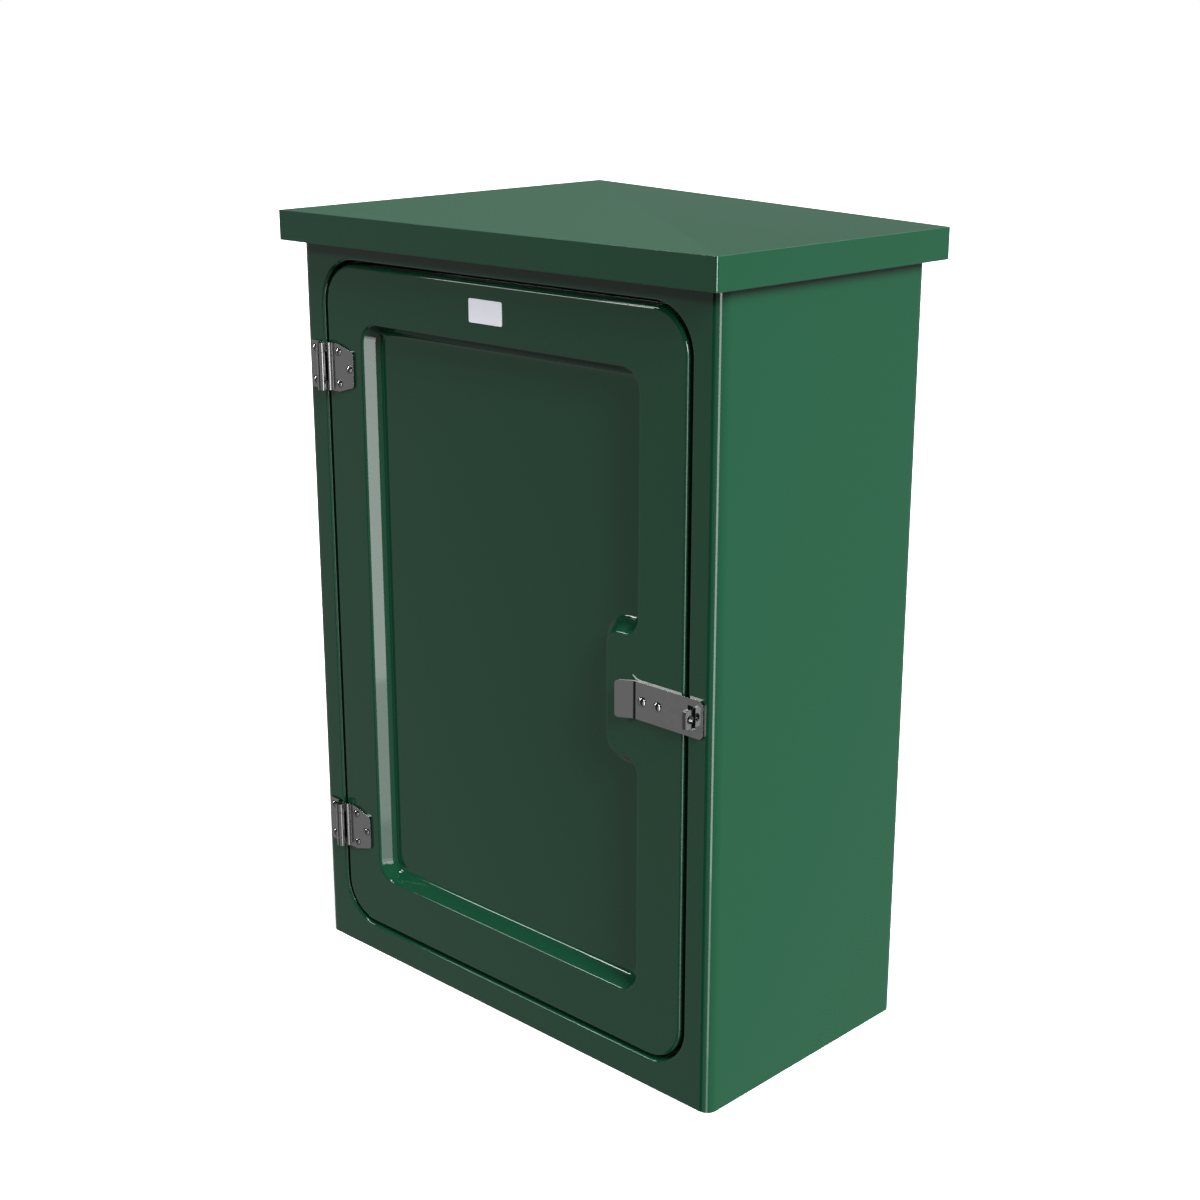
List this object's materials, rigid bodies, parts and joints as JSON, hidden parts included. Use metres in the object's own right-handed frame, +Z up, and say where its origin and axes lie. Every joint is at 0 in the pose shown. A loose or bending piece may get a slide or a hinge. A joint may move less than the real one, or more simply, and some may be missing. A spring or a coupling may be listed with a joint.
{
  "type": "roadside utility cabinet",
  "caption": "Free-standing moulded utility cabinet with a hipped roof and a side-hinged door with a sunk panel, closed by a hasp over a padlock staple.",
  "frame": {"origin": "middle of the footprint, on the ground", "axes": "+Z up, the door faces -Y, its hinges are on the -X side"},
  "size_m": [0.646, 0.364, 0.923],
  "materials": {
    "grp_gelcoat": "glossy dark green gelcoat on glass-reinforced polyester",
    "stainless": "satin stainless steel",
    "zinc_steel": "bright zinc plate",
    "seal_rubber": "matt black foam rubber",
    "plywood": "sanded exterior plywood",
    "label_plastic": "satin white plastic"
  },
  "bodies": {
    "cabinet": {"cabinet_shell": "grp_gelcoat", "roof": "grp_gelcoat", "roof_bolts": "zinc_steel", "roof_washers": "zinc_steel", "door_seal": "seal_rubber", "upper_frame_leaf": "stainless", "lower_frame_leaf": "stainless", "upper_hinge_pin": "stainless", "lower_hinge_pin": "stainless", "frame_hinge_bolts": "stainless", "frame_hinge_washers": "zinc_steel", "frame_hinge_nuts": "zinc_steel", "hasp_staple": "stainless", "staple_screws": "zinc_steel", "staple_nuts": "zinc_steel", "backboard": "plywood", "backboard_screws": "zinc_steel", "backboard_washers": "zinc_steel"},
    "door": {"door_panel": "grp_gelcoat", "upper_door_leaf": "stainless", "lower_door_leaf": "stainless", "door_hinge_bolts": "stainless", "door_hinge_washers": "zinc_steel", "door_hinge_nuts": "zinc_steel", "hasp_plate": "stainless", "hasp_bolts": "stainless", "hasp_washers": "zinc_steel", "hasp_nuts": "zinc_steel", "label_plate": "label_plastic"}
  },
  "joints": [
    {"name": "door_hinge", "type": "hinge", "parent": "cabinet", "child": "door", "pos_m": [-0.27275, -0.1682, 0.433], "axis": [0, 0, -1], "range_deg": [0, 180]}
  ]
}
